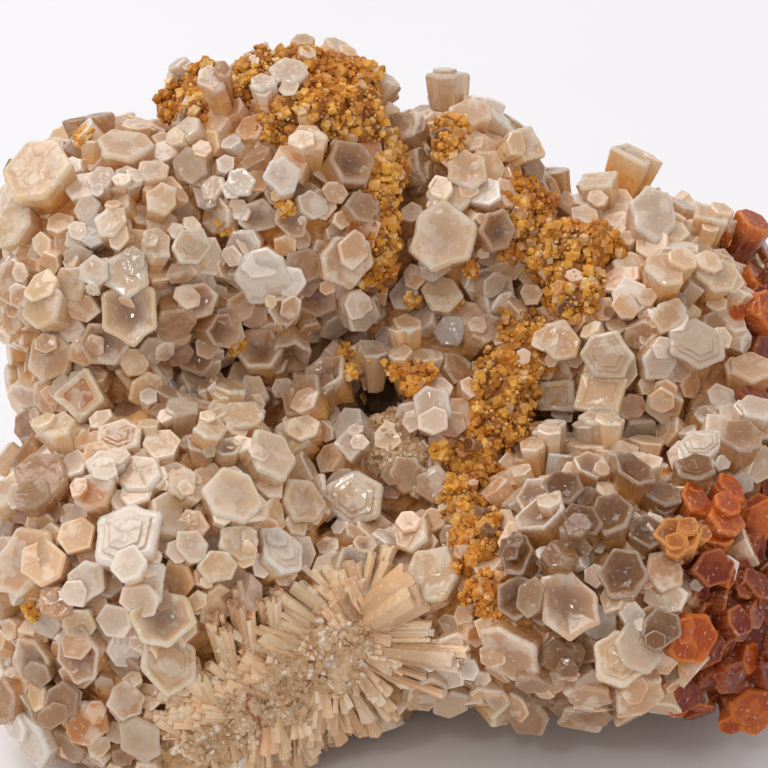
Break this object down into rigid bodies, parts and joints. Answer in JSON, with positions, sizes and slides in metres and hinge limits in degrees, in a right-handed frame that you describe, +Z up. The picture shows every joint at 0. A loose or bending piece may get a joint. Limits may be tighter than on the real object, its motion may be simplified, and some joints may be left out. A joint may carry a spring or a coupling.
{
  "type": "aragonite crystal cluster",
  "caption": "Mineral specimen: intergrown rosettes of stubby six-sided aragonite prisms on a broken cream root, with crumbly ochre matrix in the hollows and a flat cut base",
  "frame": {"origin": "under the middle of the outline, on the flat base", "axes": "+X right along the longest side, +Y to the back, +Z up"},
  "size_m": [0.0988, 0.0704, 0.0673],
  "materials": {
    "frosted_aragonite": "frosted, translucent crystal faces",
    "ochre_matrix": "matt, granular, crumbly"
  },
  "bodies": {
    "root": {"crystal_cluster": "frosted_aragonite", "ochre_matrix_front": "ochre_matrix", "ochre_matrix_knob": "ochre_matrix", "ochre_matrix_right": "ochre_matrix", "ochre_matrix_seam": "ochre_matrix", "ochre_matrix_top": "ochre_matrix", "ochre_matrix_top_left": "ochre_matrix"}
  },
  "joints": []
}
